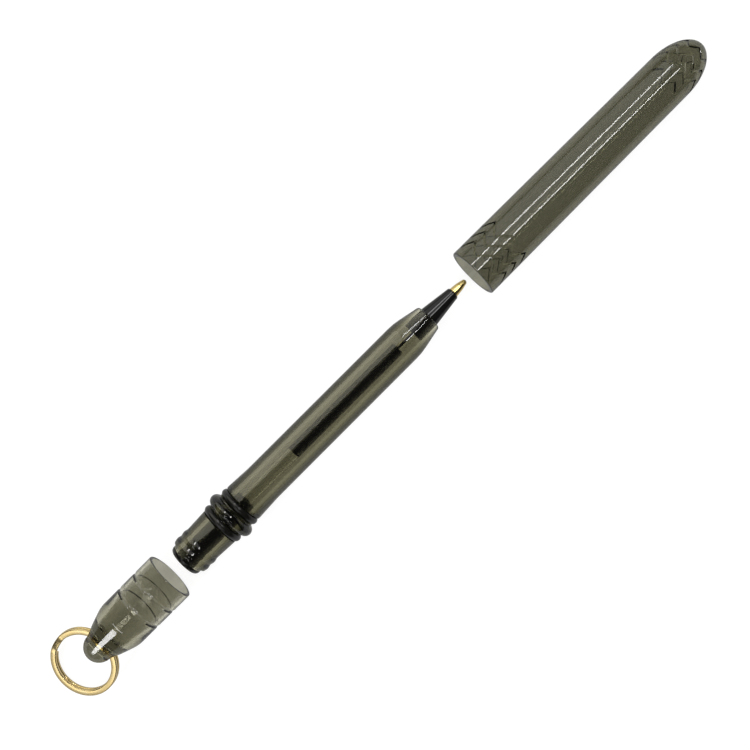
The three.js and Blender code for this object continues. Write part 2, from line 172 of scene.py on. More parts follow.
def turned(name, corners, origin_x, segments, closed=True):
    """Extrudes one vertex from corner to corner and spins the line about the pen's axis."""
    points = rounded(corners)
    if closed:
        points.append(points[0])
    select_only()
    bpy.ops.mesh.primitive_plane_add(
        size=MM, location=(origin_x + points[0].x * MM, 0, AXIS_Z + points[0].y * MM))
    piece = begin(name)
    bpy.ops.mesh.merge(type="CENTER")
    for here, there in zip(points, points[1:]):
        step = (there - here) * MM
        bpy.ops.mesh.extrude_region_move(TRANSFORM_OT_translate={"value": (step.x, 0, step.y)})
    bpy.ops.mesh.select_all(action="SELECT")
    bpy.ops.mesh.remove_doubles(threshold=NEAR)
    bpy.ops.mesh.spin(
        steps=segments, angle=math.tau, center=(origin_x, 0, AXIS_Z), axis=(1, 0, 0))
    return finish_mesh(piece)


def cut(piece, cutter):
    """Takes one solid out of another with an applied Boolean modifier."""
    select_only(piece)
    boolean = piece.modifiers.new("cut", "BOOLEAN")
    boolean.operation = "DIFFERENCE"
    boolean.solver = "EXACT"
    boolean.object = cutter
    bpy.ops.object.modifier_apply(modifier=boolean.name)
    bpy.data.objects.remove(cutter)


def even_skin(piece, origin_x, skin):
    """Gives the faces left on a turned skin the normals that it had before it was cut, so that
    long faces beside a cut reflect evenly. The skin is a list of points, from low to high X."""
    select_only(piece)
    bpy.ops.object.shade_smooth_by_angle(angle=CUT_ANGLE)
    places = [point.x for point in skin]
    sides = [Vector((here.y - there.y, there.x - here.x)).normalized()
             for here, there in zip(skin, skin[1:])]
    leans = [sides[0], *[(a + b).normalized() for a, b in zip(sides, sides[1:])], sides[-1]]
    mesh = piece.data
    found = []
    for vertex in mesh.vertices:
        x = (vertex.co.x - origin_x) / MM
        out = Vector((0, vertex.co.y, vertex.co.z - AXIS_Z)) / MM
        k = min(max(bisect_right(places, x), 1), len(skin) - 1)
        share = min(max((x - places[k - 1]) / (places[k] - places[k - 1]), 0), 1)
        radius = skin[k - 1].y * (1 - share) + skin[k].y * share
        lean = leans[k - 1].lerp(leans[k], share)
        on_skin = (abs(out.length - radius) < SKIN_TOLERANCE
                   and places[0] - NEAR < x < places[-1] + NEAR)
        normal = (Vector((lean.x, 0, 0)) + out.normalized() * lean.y).normalized()
        found.append(normal if on_skin else None)
    normals = [Vector((0, 0, 0))] * len(mesh.loops)
    for face in mesh.polygons:
        facing = [found[v] for v in face.vertices]
        if all(normal and normal.dot(face.normal) > SAME_FACING for normal in facing):
            for loop, normal in zip(face.loop_indices, facing):
                normals[loop] = normal
    mesh.normals_split_custom_set(normals)


def chevron_cutter(radius_at, places, depth, origin_x, columns, fill, slope, width, roll=0):
    """V grooves bent round a cap, in rows and columns, with their points towards +X.
    Each side leans out to as far above the surface as the groove is deep."""
    points, faces = [], []
    flank = width * math.hypot(1, slope)
    reach = math.pi / columns * fill
    for place in places:
        for column in range(columns):
            first = len(points)
            for k in range(CHEVRON_STATIONS):
                share = 2 * k / (CHEVRON_STATIONS - 1) - 1
                x = place - slope * radius_at(place) * reach * abs(share)
                angle = math.radians(roll) + math.tau * column / columns + reach * share
                for dx, dr in ((0, -depth), (-flank, depth), (flank, depth)):
                    r = (radius_at(x + dx) + dr) * MM
                    points.append((
                        origin_x + (x + dx) * MM,
                        r * math.sin(angle),
                        AXIS_Z + r * math.cos(angle)))
            for k in range(CHEVRON_STATIONS - 1):
                a = first + 3 * k
                for j in range(3):
                    b, c = a + j, a + (j + 1) % 3
                    faces.append((b, c, c + 3, b + 3))
            last = first + 3 * (CHEVRON_STATIONS - 1)
            faces.append((first + 2, first + 1, first))
            faces.append((last, last + 1, last + 2))
    mesh = bpy.data.meshes.new("chevron_cutter")
    mesh.from_pydata(points, [], faces)
    cutter = bpy.data.objects.new("chevron_cutter", mesh)
    bpy.context.scene.collection.objects.link(cutter)
    select_only(cutter)
    bpy.ops.object.mode_set(mode="EDIT")
    bpy.ops.mesh.select_all(action="SELECT")
    bpy.ops.mesh.normals_make_consistent(inside=False)
    bpy.ops.object.mode_set(mode="OBJECT")
    return cutter


def dress(piece, body, slot, material, *nodes):
    """Gives a piece its material and its body, and hides the solids that it stands for. The slot is
    not used.
    """
    piece.data.materials.clear()
    piece.data.materials.append(material)
    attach(piece, body)
    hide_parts(*nodes)


# Materials

def node(tree, kind, values=None, **settings):
    """Adds a node, with settings on the node and values on its inputs."""
    made = tree.nodes.new(kind)
    for key, value in settings.items():
        setattr(made, key, value)
    for key, value in (values or {}).items():
        if isinstance(value, bpy.types.NodeSocket):
            tree.links.new(value, made.inputs[key])
        else:
            made.inputs[key].default_value = value
    return made


def maths(tree, operation, *values):
    """The result of a Math node. Each value is a number or another node's output."""
    made = node(tree, "ShaderNodeMath", dict(enumerate(values)), operation=operation)
    return made.outputs[0]


def effect_group(name, inputs):
    """An empty effect: each input has a name, a default and, for a number, its limits. It puts
    out a colour, a roughness and a height that change over the surface."""
    group = bpy.data.node_groups.new(name, "ShaderNodeTree")
    for label, default, *limits in inputs:
        kind = "NodeSocketFloat" if limits else "NodeSocketColor"
        socket = group.interface.new_socket(name=label, in_out="INPUT", socket_type=kind)
        socket.default_value = default
        if limits:
            socket.min_value, socket.max_value = limits
    for label, kind in (("Colour", "NodeSocketColor"), ("Roughness", "NodeSocketFloat"),
                        ("Height", "NodeSocketFloat")):
        group.interface.new_socket(name=label, in_out="OUTPUT", socket_type=kind)
    return group


def flow_group():
    """Faint streaks that molten plastic leaves along a moulding, and a fine haze on it."""
    tree = effect_group("moulding_flow", [
        ("Colour", (0.5, 0.5, 0.5, 1)),
        ("Streak", 0.15, 0, 1),
        ("Roughness", 0.05, 0, 1),
        ("Haze", 0.05, 0, 1),
        ("Ripple", 0.1, 0, 1)])
    given = node(tree, "NodeGroupInput").outputs
    place = node(tree, "ShaderNodeTexCoord").outputs["Object"]
    along = node(tree, "ShaderNodeMapping", {"Vector": place, "Scale": (60, 420, 420)})
    streaks = node(tree, "ShaderNodeTexNoise", {
        "Vector": along.outputs["Vector"], "Scale": 1.0, "Detail": 4.0,
        "Roughness": 0.6}).outputs["Fac"]
    broad = node(tree, "ShaderNodeTexNoise", {
        "Vector": place, "Scale": 220.0, "Detail": 2.0}).outputs["Fac"]
    fine = node(tree, "ShaderNodeTexNoise", {
        "Vector": place, "Scale": 2600.0, "Detail": 3.0}).outputs["Fac"]
    centred = maths(tree, "SUBTRACT", maths(tree, "ADD", streaks, broad), 1.0)
    strength = maths(tree, "MULTIPLY_ADD", centred, given["Streak"], 1.0)
    tinted = node(tree, "ShaderNodeVectorMath", {
        0: given["Colour"], "Scale": strength}, operation="SCALE")
    node(tree, "NodeGroupOutput", {
        "Colour": tinted.outputs[0],
        "Roughness": maths(tree, "MULTIPLY_ADD", fine, given["Haze"], given["Roughness"]),
        "Height": maths(tree, "MULTIPLY", streaks, given["Ripple"])})
    return tree


def wear_group():
    """Light scuffs and a paler or darker tone in patches, on metal, rubber and hard plastic."""
    tree = effect_group("handled_surface", [
        ("Colour", (0.5, 0.5, 0.5, 1)),
        ("Worn Colour", (0.6, 0.6, 0.6, 1)),
        ("Wear", 0.2, 0, 1),
        ("Roughness", 0.2, 0, 1),
        ("Scuff", 0.1, 0, 1),
        ("Scale", 900, 1, 20000)])
    given = node(tree, "NodeGroupInput").outputs
    patches = node(tree, "ShaderNodeTexNoise", {
        "Vector": node(tree, "ShaderNodeTexCoord").outputs["Object"], "Scale": given["Scale"],
        "Detail": 5.0, "Roughness": 0.65}).outputs["Fac"]
    mask = node(tree, "ShaderNodeMapRange", {
        "Value": patches, "From Min": 0.45, "From Max": 0.75})
    # A Mix node's names repeat, so its two colours and its result go by number
    colour = node(tree, "ShaderNodeMix", {
        "Factor": maths(tree, "MULTIPLY", mask.outputs["Result"], given["Wear"]),
        6: given["Colour"], 7: given["Worn Colour"]}, data_type="RGBA")
    node(tree, "NodeGroupOutput", {
        "Colour": colour.outputs[2],
        "Roughness": maths(tree, "MULTIPLY_ADD", patches, given["Scuff"], given["Roughness"]),
        "Height": patches})
    return tree


def new_material(name):
    material = bpy.data.materials.new(name)
    material.use_nodes = True
    material.node_tree.nodes.clear()
    return material, material.node_tree


def surface(name, group, values, shader_values, bump, soak=None):
    """A material whose Principled shader takes its colour, roughness and bump from a group.
    A clear one soaks up light on its way through: soak is the colour and the density of that."""
    material, tree = new_material(name)
    effect = node(tree, "ShaderNodeGroup")
    effect.node_tree = group
    for key, value in values.items():
        effect.inputs[key].default_value = value
    raised = node(tree, "ShaderNodeBump", {
        "Strength": bump, "Distance": BUMP_DISTANCE, "Height": effect.outputs["Height"]})
    shader = node(tree, "ShaderNodeBsdfPrincipled", {
        "Base Color": effect.outputs["Colour"],
        "Roughness": effect.outputs["Roughness"],
        "Normal": raised.outputs["Normal"], **shader_values})
    ends = {"Surface": shader.outputs[0]}
    if soak:
        ends["Volume"] = node(tree, "ShaderNodeVolumeAbsorption", {
            "Color": (*soak[0], 1), "Density": soak[1]}).outputs[0]
    node(tree, "ShaderNodeOutputMaterial", ends)
    return material


def shared(name, make):
    """The node group of that name, made the first time that it is asked for."""
    return bpy.data.node_groups.get(name) or make()


def smoke_material(name, density, tint=(0.92, 0.92, 0.9)):
    """The smoke plastic. The density is how fast it soaks up light, and the tint is the tone
    that its surface lets through."""
    looks = bpy.context.scene.pen_looks
    return surface(
        name, shared("moulding_flow", flow_group),
        {"Colour": (*tint, 1), "Streak": 0.06, "Roughness": looks.smoke_roughness,
         "Haze": 0.04, "Ripple": 0.3},
        {"Transmission Weight": 1.0, "IOR": SMOKE_IOR}, bump=0.005, soak=(looks.smoke, density))


def plain_material(name, shader_values, colour, worn, wear, roughness, scuff, scale, bump=0.08):
    """A material that light doesn't pass, with its wear. It is made once and then shared."""
    found = bpy.data.materials.get(name)
    if found:
        return found
    return surface(
        name, shared("handled_surface", wear_group),
        {"Colour": (*colour, 1), "Worn Colour": (*worn, 1), "Wear": wear,
         "Roughness": roughness, "Scuff": scuff, "Scale": scale}, shader_values, bump)


# Sizes and looks that a user would change

class PenSizes(bpy.types.PropertyGroup):
    """Sizes of the pen's pieces."""
    barrel_diameter: FloatProperty(
        name="Barrel diameter", description="Across the straight part of the barrel",
        default=0.00895, unit="LENGTH")
    collar_diameter: FloatProperty(
        name="Collar diameter", description="Across the bead where the caps meet",
        default=0.0116, unit="LENGTH")
    cap_diameter: FloatProperty(
        name="Long cap diameter", description="Across the long cap's mouth",
        default=0.012, unit="LENGTH")
    end_diameter: FloatProperty(
        name="End cap diameter", description="Across the end cap's mouth",
        default=0.0117, unit="LENGTH")
    ring_diameter: FloatProperty(
        name="Ring diameter", description="Across the split ring, outside",
        default=0.0156, unit="LENGTH")
    ring_wire: FloatProperty(
        name="Ring wire width", description="Width of the split ring's flat wire",
        default=0.0013, unit="LENGTH")
    facets: IntProperty(
        name="Facets", description="Facets round each turned piece", default=128, min=24)


class PenLooks(bpy.types.PropertyGroup):
    """Colours and finishes of the pen's pieces."""
    smoke: FloatVectorProperty(
        name="Smoke plastic",
        description="Colour of light that has soaked through the smoke plastic",
        subtype="COLOR", size=3, default=(0.2, 0.19, 0.02), min=0, max=1)
    smoke_roughness: FloatProperty(
        name="Smoke roughness", description="Roughness of the translucent plastic",
        subtype="FACTOR", default=0.02, min=0, max=1)
    black: FloatVectorProperty(
        name="Black plastic", description="Colour of the cone and the plug",
        subtype="COLOR", size=3, default=(0.005, 0.005, 0.0047), min=0, max=1)
    rubber: FloatVectorProperty(
        name="Rubber", description="Colour of the two seals",
        subtype="COLOR", size=3, default=(0.006, 0.006, 0.005), min=0, max=1)
    gold: FloatVectorProperty(
        name="Ring gold", description="Colour of the split ring",
        subtype="COLOR", size=3, default=(0.87, 0.67, 0.31), min=0, max=1)
    brass: FloatVectorProperty(
        name="Point brass", description="Colour of the writing point",
        subtype="COLOR", size=3, default=(0.93, 0.72, 0.28), min=0, max=1)
    ink: FloatVectorProperty(
        name="Ink", description="Colour of the ink in the tube",
        subtype="COLOR", size=3, default=(0.003, 0.003, 0.004), min=0, max=1)
    clear: FloatVectorProperty(
        name="Clear plastic", description="Tint of the refill's tube",
        subtype="COLOR", size=3, default=(0.9, 0.9, 0.86), min=0, max=1)


# Pieces

def seal_grooves():
    """The seals' places, outer radii and grooves: shared by the barrel and the seals."""
    return {"section": 1.9, "play": 0.04, "front": (2.6, 4.985), "rear": (-2.45, 5.06)}


class PEN_OT_barrel(bpy.types.Operator):
    """Model the barrel: boss with ridges, two seal grooves, collar bead, flare and taper"""
    bl_idname = "pen.barrel"
    bl_label = "Barrel"

    def execute(self, context):
        sizes = context.scene.pen_sizes
        seals = seal_grooves()
        half = seals["section"] / 2 + seals["play"]
        depth = seals["section"] + seals["play"]
        front, front_r = seals["front"]
        rear, rear_r = seals["rear"]
        plug_seat, tip_step = PLUG_HEAD_LENGTH - BOSS_LENGTH, -12.5
        waist, boss = 4.4, 4.65
        first_ridge, ridge_pitch, ridge_height, ridge_width, ridge_count = -11.5, 1.95, 0.28, 1.9, 2
        bead = 1.35
        bead_centre = sizes.collar_diameter / MM / 2 - bead
        bead_angle = math.degrees(math.asin((boss - bead_centre) / bead))
        flare, flare_land, flare_end = 4.75, 0.7, 5.9
        radius, front_taper, front_face = sizes.barrel_diameter / MM / 2, 6.6, 3.125
        ridges = []
        for k in range(ridge_count):
            x = ridge_pitch * k + first_ridge
            ridges += [(x - ridge_width / 2, waist, 0.12), (x, waist + ridge_height, 1.6),
                       (x + ridge_width / 2, waist, 0.12)]
        corners = [
            (plug_seat, BORE_RADIUS),
            (plug_seat, BOSS_TIP_RADIUS, 0.08),
            (tip_step, BOSS_TIP_RADIUS, 0.1),
            *ridges,
            (rear - half, boss, 0.1),
            (rear - half, rear_r - depth),
            (rear + half, rear_r - depth),
            (rear + half, boss, 0.1),
            *arc((0, bead_centre), bead, bead, 180 - bead_angle, bead_angle, 24),
            (front - half, boss, 0.1),
            (front - half, front_r - depth),
            (front + half, front_r - depth),
            (front + half, flare, 0.12),
            (front + half + flare_land, flare, 2),
            (front + half + flare_end, radius, 15),
            (BARREL_FRONT - front_taper, radius, 15),
            (BARREL_FRONT, front_face, 0.6),
            (BARREL_FRONT, BORE_RADIUS, 0.1),
        ]
        piece = turned("barrel_shell", corners, COLLAR_X, sizes.facets)
        smoke = smoke_material("smoke_barrel", 500, (0.9, 0.885, 0.82))
        dress(piece, "pen", "smoke_plastic", smoke, "barrel")
        return {"FINISHED"}


class PEN_OT_seals(bpy.types.Operator):
    """Model the two rubber seal rings beside the collar"""
    bl_idname = "pen.seals"
    bl_label = "Seal rings"

    def execute(self, context):
        looks = context.scene.pen_looks
        seals = seal_grooves()
        r, sides = seals["section"] / 2, 28
        material = plain_material(
            "seal_rubber", {"IOR": PLASTIC_IOR}, looks.rubber, worn=(0.02, 0.02, 0.018),
            wear=0.5, roughness=0.18, scuff=0.12, scale=1500)
        for name in ("front", "rear"):
            place, outer = seals[name]
            corners = arc(
                (place, outer - r), r, r, 90, 90 - 360 * (sides - 1) / sides, sides - 1)
            piece = turned(f"{name}_seal", corners, COLLAR_X, context.scene.pen_sizes.facets)
            dress(piece, "pen", "black_rubber", material, f"{name}_seal_ring")
        return {"FINISHED"}


def black_material(context):
    """The glossy black plastic that the nose cone and the rear plug share."""
    return plain_material(
        "gloss_black", {"IOR": PLASTIC_IOR}, context.scene.pen_looks.black,
        worn=(0.012, 0.012, 0.011), wear=0.4, roughness=0.04, scuff=0.08, scale=1200, bump=0.05)


class PEN_OT_nose_cone(bpy.types.Operator):
    """Model the glossy black nose cone with its shank in the barrel"""
    bl_idname = "pen.nose_cone"
    bl_label = "Nose cone"

    def execute(self, context):
        rear = BARREL_FRONT - 5.3
        tube_stop = rear + 3.2
        tip, point_hole = 1.4, 0.9
        corners = [
            (rear, TUBE_SEAT_RADIUS, 0.1),
            (rear, SHANK_RADIUS, 0.2),
            (BARREL_FRONT, SHANK_RADIUS),
            (CONE_FRONT, tip, 0.3),
            (CONE_FRONT, point_hole, 0.05),
            (tube_stop, point_hole),
            (tube_stop, TUBE_SEAT_RADIUS),
        ]
        piece = turned("cone_shell", corners, COLLAR_X, context.scene.pen_sizes.facets)
        dress(piece, "pen", "black_plastic", black_material(context), "nose_cone")
        return {"FINISHED"}


class PEN_OT_point(bpy.types.Operator):
    """Model the brass writing point and the ball in its socket"""
    bl_idname = "pen.point"
    bl_label = "Writing point"

    def execute(self, context):
        looks = context.scene.pen_looks
        cup, lip_ahead = 0.54, 0.25
        lip = BALL_CENTRE + lip_ahead
        lip_angle = math.degrees(math.acos(lip_ahead / cup))
        feed_angle = 180 - math.degrees(math.asin(FEED_RADIUS / cup))
        shank_rear, shank = CONE_FRONT - 9.2, 0.85
        seat, seat_radius = CONE_FRONT + 0.05, 1.125
        corners = [
            (shank_rear, FEED_RADIUS),
            (shank_rear, shank, 0.1),
            (seat, shank),
            (seat, seat_radius, 0.08),
            (CONE_FRONT + 0.5, 1.1, 0.3),
            (CONE_FRONT + 1.9, 0.95, 3),
            (lip - 0.12, 0.58, 0.2),
            (lip, 0.56, 0.03),
            *arc((BALL_CENTRE, 0), cup, cup, lip_angle, feed_angle, 12),
        ]
        brass = plain_material(
            "turned_brass", {"Metallic": 1.0}, looks.brass, worn=(0.93, 0.78, 0.42),
            wear=0.35, roughness=0.13, scuff=0.12, scale=2500, bump=0.06)
        piece = turned("brass_point", corners, COLLAR_X, CORE_FACETS)
        dress(piece, "pen", "point_brass", brass, "point_socket")
        polished = plain_material(
            "ball_polished", {"Metallic": 1.0}, (0.45, 0.45, 0.46), worn=(0.6, 0.6, 0.6),
            wear=0.3, roughness=0.12, scuff=0.1, scale=4000, bump=0.04)
        half = arc((BALL_CENTRE, 0), BALL_RADIUS, BALL_RADIUS, 180, 0, 24)
        ball = turned(
            "ball", [(x, max(r, 0)) for x, r in half], COLLAR_X, BALL_FACETS, closed=False)
        dress(ball, "writing_ball", "ball_metal", polished, "writing_ball")
        return {"FINISHED"}


class PEN_OT_refill(bpy.types.Operator):
    """Model the clear refill tube and the ink in it"""
    bl_idname = "pen.refill"
    bl_label = "Refill"

    def execute(self, context):
        looks = context.scene.pen_looks
        rear, neck, front = 1.55, 50.55, 58.05
        outside, bore, neck_bore = 1.55, 1.1, 0.45
        tube = turned("clear_tube", [
            (rear, bore, 0.06),
            (rear, outside, 0.08),
            (front, outside, 0.08),
            (front, neck_bore),
            (neck, neck_bore, 0.1),
            (neck, bore, 0.2),
        ], COLLAR_X, CORE_FACETS)
        clear = surface(
            "tube_clear", shared("moulding_flow", flow_group),
            {"Colour": (*looks.clear, 1), "Streak": 0.05, "Roughness": 0.06, "Haze": 0.05,
             "Ripple": 0.1},
            {"Transmission Weight": 1.0, "IOR": TUBE_IOR}, bump=0.05)
        dress(tube, "pen", "clear_plastic", clear, "refill_tube")
        # The ink goes a little into the tube's wall, so that it wets it with no air between
        wetted, thread = 1.13, 0.3
        ink_rear, ink_neck, ink_front = neck - 31.54, neck - 0.04, BALL_CENTRE - 0.58
        hollow, climb = 0.8, 0.25
        ink = turned("ink_fill", [
            (ink_rear, 0),
            (ink_rear, hollow, 0.4),
            (ink_rear - climb, wetted, 0.1),
            (ink_neck, wetted, 0.25),
            (ink_neck, thread, 0.1),
            (ink_front, thread, 0.05),
            (ink_front, 0),
        ], COLLAR_X, INK_FACETS, closed=False)
        black = plain_material(
            "wet_ink", {"IOR": INK_IOR}, looks.ink, worn=(0.006, 0.006, 0.012), wear=0.5,
            roughness=0.12, scuff=0.1, scale=800, bump=0.03)
        dress(ink, "pen", "ink", black, "ink_column")
        return {"FINISHED"}


class PEN_OT_rear_plug(bpy.types.Operator):
    """Model the black plug in the barrel's rear bore, with its head on the boss"""
    bl_idname = "pen.rear_plug"
    bl_label = "Rear plug"

    def execute(self, context):
        vent, head_front = 0.4, PLUG_HEAD_LENGTH - 0.05 - BOSS_LENGTH
        tube_stop, front = 1.5, 4.7
        corners = [
            (-BOSS_LENGTH, vent, 0.1),
            (-BOSS_LENGTH, BOSS_TIP_RADIUS, 1.02),
            (head_front, BOSS_TIP_RADIUS, 0.04),
            (head_front, SHANK_RADIUS),
            (front, SHANK_RADIUS, 0.3),
            (front, TUBE_SEAT_RADIUS, 0.1),
            (tube_stop, TUBE_SEAT_RADIUS),
            (tube_stop, vent),
        ]
        piece = turned("rear_stopper", corners, COLLAR_X, context.scene.pen_sizes.facets)
        dress(piece, "pen", "black_plastic", black_material(context), "rear_plug")
        return {"FINISHED"}


class PEN_OT_long_cap(bpy.types.Operator):
    """Model the long cap and cut its chevron grooves"""
    bl_idname = "pen.long_cap"
    bl_label = "Long cap"

    def execute(self, context):
        sizes = context.scene.pen_sizes
        slope = math.tan(math.radians(0.29))
        radius = sizes.cap_diameter / MM / 2
        nose_length, wall, bore = 10.1, 0.9, 5.075
        lip, skin_steps = 0.3, 12
        rows, chevron_depth, roll = 3, 0.2, -3.5
        mouth_row, mouth_pitch, nose_row, nose_pitch = 4.7, 2.95, 2.6, 2.7
        nose = CAP_LENGTH - nose_length
        inner_length = nose_length - wall

        def radius_at(x):
            along = min(max((x - nose) / nose_length, 0), 1)
            return (radius - slope * min(x, nose)) * math.sqrt(1 - along ** 2)

        inner = bore - slope * nose
        straight = [lip + k * (nose - lip) / skin_steps for k in range(skin_steps)]
        skin = [
            *[(x, radius_at(x)) for x in straight],
            *[(x, max(r, 0)) for x, r in arc((nose, 0), nose_length, radius_at(nose), 90, 0, 32)],
        ]
        corners = [
            *[(x, max(r, 0)) for x, r in arc((nose, 0), inner_length, inner, 0, 90, 24)],
            (0, bore, 0.12),
            (0, radius, 0.25),
            *skin,
        ]
        piece = turned("cap_shell", corners, CAP_MOUTH_X, sizes.facets, closed=False)
        places = [mouth_row + mouth_pitch * k for k in range(rows)]
        places += [CAP_LENGTH - nose_row - nose_pitch * k for k in range(rows)]
        cut(piece, chevron_cutter(
            radius_at, places, chevron_depth, CAP_MOUTH_X, roll=roll, **CHEVRONS))
        even_skin(piece, CAP_MOUTH_X, rounded(skin))
        dress(piece, "long_cap", "smoke_plastic", smoke_material("smoke_cap", 1260), "long_cap")
        return {"FINISHED"}


class PEN_OT_end_cap(bpy.types.Operator):
    """Model the end cap, its grooves, its faint chevrons and its cross hole"""
    bl_idname = "pen.end_cap"
    bl_label = "End cap"

    def execute(self, context):
        sizes = context.scene.pen_sizes
        radius = sizes.end_diameter / MM / 2
        slope = math.tan(math.radians(0.25))
        length, shoulder, dome = 24.4, 14.9, 3.45
        groove_places, groove_half, groove_depth, groove_edge = (9.3, 4.8), 0.45, 0.26, 0.3
        bore, bore_depth, tip_bore, cavity_depth = 5.15, 8.9, 3.6, 17.2
        hole_radius, drill_length = 1.65, 14
        chevron_places, chevron_depth = (-2.3, -7), 0.04

        def radius_at(x):
            return radius + slope * x

        across = Vector((length - dome - shoulder, radius_at(-shoulder)))
        tangent = math.degrees(math.atan2(across.y, across.x) + math.acos(dome / across.length))
        grooves = []
        for place in groove_places:
            side = radius_at(-place)
            grooves += [(-place - groove_half, side, groove_edge),
                        (-place, side - groove_depth, groove_edge),
                        (-place + groove_half, side, groove_edge)]
        centre = (-length + dome, 0)
        tip = [
            *[(x, max(r, 0)) for x, r in arc(centre, dome, dome, 180, tangent, 16)],
            (-shoulder, radius_at(-shoulder), 7),
        ]
        corners = [
            *tip,
            *grooves,
            (0, radius, 0.25),
            (0, bore, 0.12),
            (-bore_depth, bore),
            (-cavity_depth, tip_bore, 0.8),
            (-cavity_depth, 0),
        ]
        piece = turned("end_shell", corners, END_MOUTH_X, sizes.facets, closed=False)
        select_only()
        bpy.ops.mesh.primitive_cylinder_add(
            vertices=64, radius=hole_radius * MM, depth=drill_length * MM,
            location=(END_MOUTH_X - HOLE_PLACE * MM, 0, AXIS_Z), rotation=(math.pi / 2, 0, 0))
        cut(piece, bpy.context.object)
        cut(piece, chevron_cutter(
            radius_at, chevron_places, chevron_depth, END_MOUTH_X, **CHEVRONS))
        even_skin(piece, END_MOUTH_X, rounded([*tip, (0, radius)]))
        smoke = smoke_material("smoke_end", 260, (0.54, 0.53, 0.45))
        dress(piece, "end_cap", "smoke_plastic", smoke, "end_cap")
        return {"FINISHED"}


class PEN_OT_split_ring(bpy.types.Operator):
    """Sweep the flat wire of the split ring through its two turns"""
    bl_idname = "pen.split_ring"
    bl_label = "Split ring"

    def execute(self, context):
        sizes = context.scene.pen_sizes
        looks = context.scene.pen_looks
        outer, width = sizes.ring_diameter / 2, sizes.ring_wire
        thick, gap, edge = 0.7 * MM, 0.1 * MM, 0.2 * MM
        hole = Vector((END_MOUTH_X - HOLE_PLACE * MM, 0, AXIS_Z))
        # The ring hangs this far from the hole and droops until it rests on the floor
        offset = 6.490682 * MM
        droop = math.radians(21.56697)
        # Places along the wire in degrees: one turn climbs over the other in the joggle
        joggle, joggle_place, end_gap = 34, 104, 2
        level = (thick + gap) / 2
        joggle_end = joggle_place + joggle / 2
        start = joggle_end + end_gap
        end = joggle_end + 720 - joggle - end_gap
        climb_from = joggle_end + 360 - joggle
        steps = 216
        centre = (-offset, 0, 0)
        angle = math.radians(start)
        middle = outer - width / 2
        select_only()
        bpy.ops.mesh.primitive_plane_add(size=1, location=(0, 0, 0), rotation=(0, 0, 0))
        piece = begin("ring_wire")
        bpy.ops.transform.resize(value=(width, thick, 1))
        bpy.ops.mesh.bevel(affect="VERTICES", offset=edge, segments=4)
        bpy.ops.object.mode_set(mode="OBJECT")
        piece.rotation_euler = (math.pi / 2, 0, angle)
        piece.location = (
            centre[0] + middle * math.cos(angle), middle * math.sin(angle), -level)
        bpy.ops.object.transform_apply(location=True, rotation=True, scale=True)
        bpy.ops.object.mode_set(mode="EDIT")
        bpy.ops.mesh.select_all(action="SELECT")

        def climb(degrees):
            share = min(max((degrees - climb_from) / joggle, 0), 1)
            return share * share * (3 - 2 * share)

        turn = (end - start) / steps
        for k in range(steps):
            here = start + turn * k
            bpy.ops.mesh.spin(
                steps=1, angle=-math.radians(turn), center=centre, axis=(0, 0, 1))
            rise = 2 * level * (climb(here + turn) - climb(here))
            if rise:
                bpy.ops.transform.translate(value=(0, 0, rise))
        finish_mesh(piece)
        piece.rotation_euler = (0, -droop, 0)
        piece.location = hole
        select_only(piece)
        bpy.ops.object.transform_apply(location=True, rotation=True, scale=True)
        gold = plain_material(
            "pale_gold", {"Metallic": 1.0}, looks.gold, worn=(0.93, 0.83, 0.6),
            wear=0.35, roughness=0.16, scuff=0.08, scale=500, bump=0.02)
        dress(piece, "key_ring", "gold_plate", gold, "split_ring")
        return {"FINISHED"}


# The studio

def panel_lamp(name, side, start, end, middle_x, length, level, colour=(1, 1, 1)):
    """A flat lamp that fills the directions between two angles from the vertical, seen from the
    pen's axis. It leans to the side that is given, and is as bright as the level says."""
    lean = math.radians((start + end) / 2)
    spread = 2 * LAMP_DISTANCE * math.tan(math.radians(end - start) / 2)
    back = Vector(side) * math.sin(lean) + Vector((0, 0, math.cos(lean)))
    along = back.cross(Vector(side)).normalized()
    data = bpy.data.lights.new(name, "AREA")
    data.shape = "RECTANGLE"
    data.size = length
    data.size_y = spread
    data.color = colour
    data.energy = level * math.pi * length * spread
    lamp = bpy.data.objects.new(name, data)
    bpy.context.scene.collection.objects.link(lamp)
    lamp.location = Vector((middle_x, 0, AXIS_Z)) + back * LAMP_DISTANCE
    lamp.rotation_euler = Matrix((along, back.cross(along), back)).transposed().to_euler()
    return lamp


